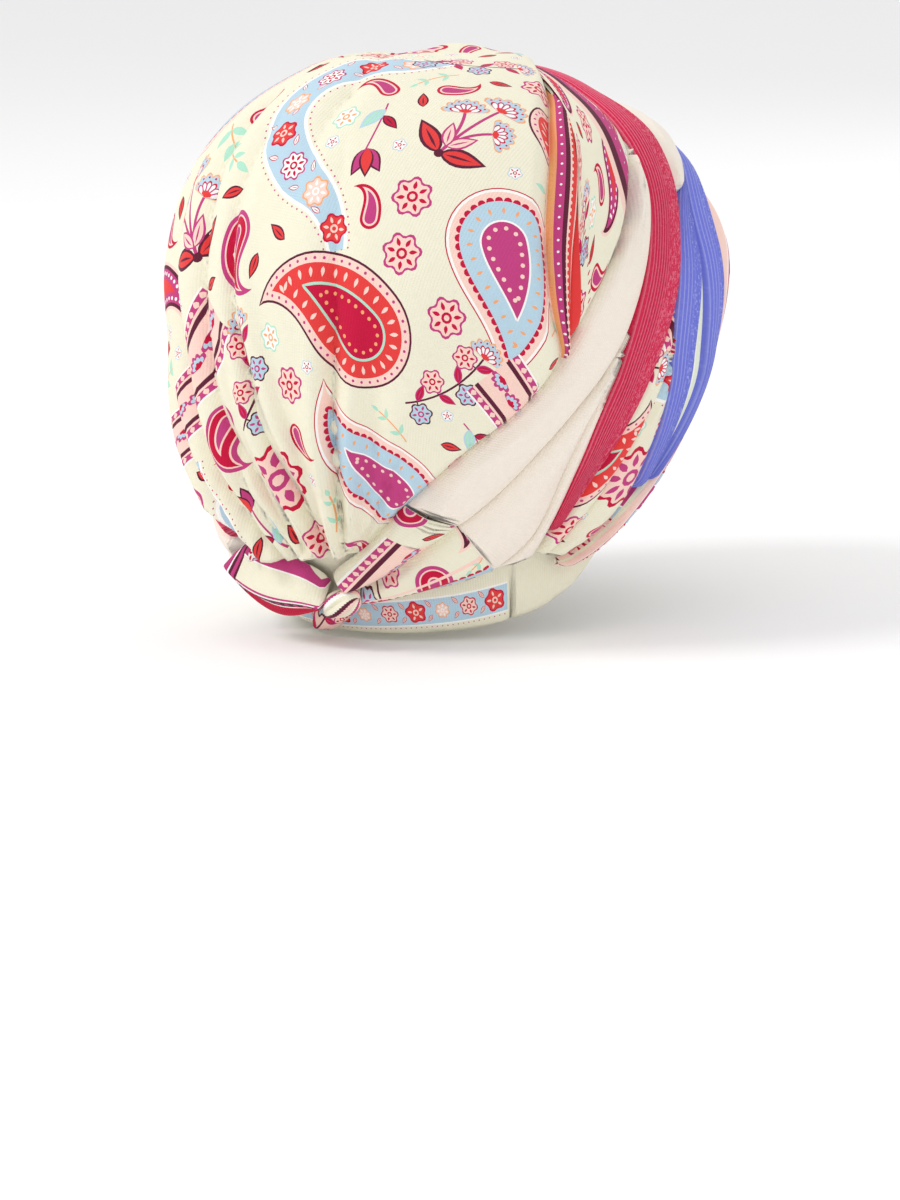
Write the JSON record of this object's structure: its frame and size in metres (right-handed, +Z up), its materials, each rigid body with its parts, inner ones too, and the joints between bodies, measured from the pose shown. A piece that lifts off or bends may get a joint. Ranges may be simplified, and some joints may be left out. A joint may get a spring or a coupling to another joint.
{
  "type": "turban headwrap",
  "caption": "Jersey turban headwrap with a gathered bag, wrapped folds, ribbed ribbons and a knot at the nape, open below for the head.",
  "frame": {"origin": "middle of the wearer's head at the girth line, where a head holds the wrap", "axes": "+Z up, the face looks along -Y, the wearer's right is -X"},
  "size_m": [0.174, 0.2101, 0.1999],
  "materials": {
    "print_jersey": "matte printed jersey",
    "hem_jersey": "matte jersey",
    "plain_jersey": "matte jersey",
    "red_ribbon": "ribbed knit with glitter yarn",
    "blue_ribbon": "ribbed knit with glitter yarn",
    "pale_ribbon": "ribbed knit"
  },
  "bodies": {
    "root": {"crown_bag": "print_jersey", "hem_band": "hem_jersey", "print_pleat_rear_right": "print_jersey", "print_pleat_rear_left": "print_jersey", "print_pleat_front_right": "print_jersey", "print_pleat_front_left": "print_jersey", "plain_fold_upper_right": "plain_jersey", "plain_fold_upper_left": "plain_jersey", "plain_fold_lower_right": "plain_jersey", "plain_fold_lower_left": "plain_jersey", "plain_fold_side_right": "plain_jersey", "plain_fold_side_left": "plain_jersey", "red_band": "red_ribbon", "plain_fold_front": "plain_jersey", "print_fold_upper_right": "print_jersey", "print_fold_upper_left": "print_jersey", "print_fold_lower_right": "print_jersey", "print_fold_lower_left": "print_jersey", "blue_band_rear_right": "blue_ribbon", "blue_band_rear_left": "blue_ribbon", "pale_strip_right": "pale_ribbon", "pale_strip_left": "pale_ribbon", "blue_band_front": "blue_ribbon", "front_print_fold": "print_jersey", "tie_end": "print_jersey", "tie_strip": "print_jersey", "red_tail": "red_ribbon", "plain_tail_upper": "plain_jersey", "plain_tail_lower": "plain_jersey", "tie_loop": "print_jersey", "tie_tail": "print_jersey", "knot": "print_jersey"}
  },
  "joints": []
}
